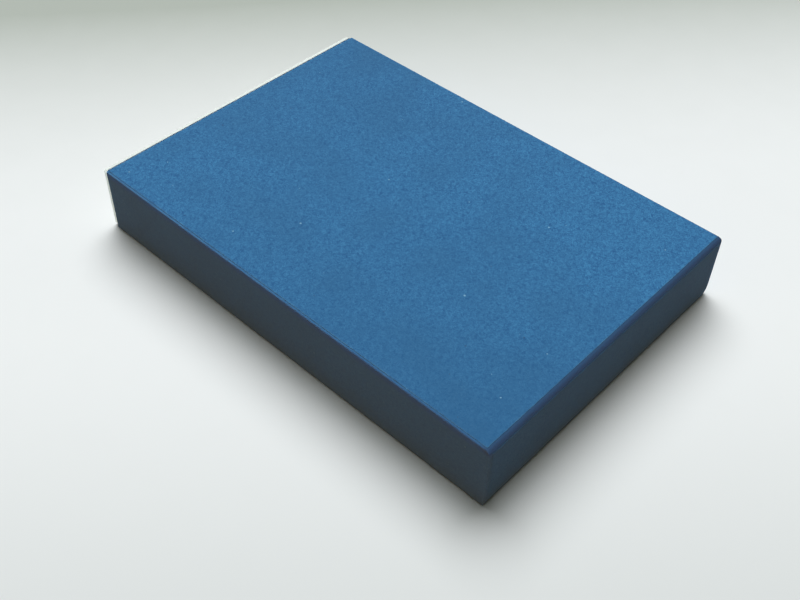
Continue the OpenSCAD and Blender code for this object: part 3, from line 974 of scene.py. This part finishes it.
def make_table():
    """A pale painted surface, with a painted falloff of the light in its colour: it darkens with the
    square of the distance behind the box, 16 * max(0, p . away - 27 mm)^2 and a little mottling, at
    most 0.52, and by a soft step in front of it. What it bounces into the shade is kept low."""
    away = (-0.634, -0.773, 0.0)
    towards = (0.692, 0.722, 0.0)
    made, tree, skin, place = new_material("pale_table")

    def along(way):
        """How far the place lies in the direction way"""
        return add_node(tree, "VectorMath", {0: place, 1: way}, operation="DOT_PRODUCT").outputs["Value"]

    # painted shade: the light's falloff behind the box
    past_box = maths(tree, "SUBTRACT", along(away), 27 * mm)
    behind = maths(tree, "MAXIMUM", past_box, 0.0)
    squared = scaled(tree, maths(tree, "MULTIPLY", behind, behind), 16.0)
    mottled = scaled(tree, noise(tree, place, 60.0, 3.0)["Fac"], 0.03, -0.015)
    far = maths(tree, "MINIMUM", maths(tree, "ADD", squared, mottled, clamp=True), 0.52)
    # painted shade: the light's falloff in front of the box
    near = rise(tree, along(towards), 0.03, 0.233)
    far_falloff_shade = blend(tree, far, (0.834, 0.847, 0.862, 1), (0.089, 0.138, 0.054, 1))
    seen = blend(tree, near, far_falloff_shade, (0.640, 0.659, 0.664, 1))
    bounce = add_node(tree, "LightPath", {}).outputs["Is Diffuse Ray"]
    tree.links.new(blend(tree, bounce, seen, (0.25, 0.21, 0.175, 1)), skin.inputs["Base Color"])
    skin.inputs["Roughness"].default_value = 0.8
    skin.inputs["Specular IOR Level"].default_value = 0.0
    return made


table_reach = 12.0
table_corners = [(table_reach * x, table_reach * y, 0) for x, y in ((-1, -1), (1, -1), (1, 1), (-1, 1))]
table_mesh = bpy.data.meshes.new("table")
table_mesh.from_pydata(table_corners, [], [(0, 1, 2, 3)])
table_mesh.materials.append(make_table())
table = bpy.data.objects.new("table", table_mesh)
bpy.context.scene.collection.objects.link(table)

world = bpy.data.worlds.new("soft_room")
world.use_nodes = True
world.node_tree.nodes["Background"].inputs["Color"].default_value = (0.93, 1.04, 0.74, 1)
world.node_tree.nodes["Background"].inputs["Strength"].default_value = 0.065
bpy.context.scene.world = world


def sun(name, strength, colour, width, ray):
    """A distant lamp: width is its angle in degrees, ray the direction in which its light goes"""
    lamp = bpy.data.lights.new(name, "SUN")
    lamp.energy = strength
    lamp.color = colour
    lamp.angle = math.radians(width)
    placed = bpy.data.objects.new(name, lamp)
    placed.rotation_euler = Vector(ray).to_track_quat("-Z", "Y").to_euler()
    bpy.context.scene.collection.objects.link(placed)
    return placed


sun("window", 3.5, (0.98, 1.0, 1.0), width=50, ray=(0.332, 0.353, -0.875))
# the dim room in front of the box shows only in the gloss of its shaded sides
room = sun("room", 9.6, (1.0, 0.835, 0.56), width=60, ray=(-0.84, -0.48, -0.26))
room.visible_diffuse = False
# a third lamp brightens the edge of the face's white paper, and nothing else
glow = sun("face_glow", 3.0, (0.9, 1.0, 1.0), width=60, ray=(-0.97, 0.0, -0.22))
lit_by_glow = bpy.data.collections.new("face_only")
lit_by_glow.objects.link(bpy.data.objects["face_paper"])
glow.light_linking.receiver_collection = lit_by_glow

camera_place = np.array([239.54, 210.79, 303.32]) * mm
camera_aim = np.array([18.72, 14.44, 0.0]) * mm
camera_roll = math.radians(1.795)
forward = (camera_aim - camera_place) / np.linalg.norm(camera_aim - camera_place)
level = np.cross(forward, (0, 0, 1))
level = level / np.linalg.norm(level)
upright = np.cross(level, forward)
right = math.cos(camera_roll) * level + math.sin(camera_roll) * upright
above = np.cross(right, forward)
camera_data = bpy.data.cameras.new("camera")
camera_data.sensor_width = 36.0
camera_data.lens = 48.107
camera_data.clip_start = 0.01
camera = bpy.data.objects.new("camera", camera_data)
turned = Matrix([(right[i], above[i], -forward[i], camera_place[i]) for i in range(3)] + [(0, 0, 0, 1)])
camera.matrix_world = turned
bpy.context.scene.collection.objects.link(camera)
bpy.context.scene.camera = camera
bpy.context.scene.view_settings.view_transform = "Standard"
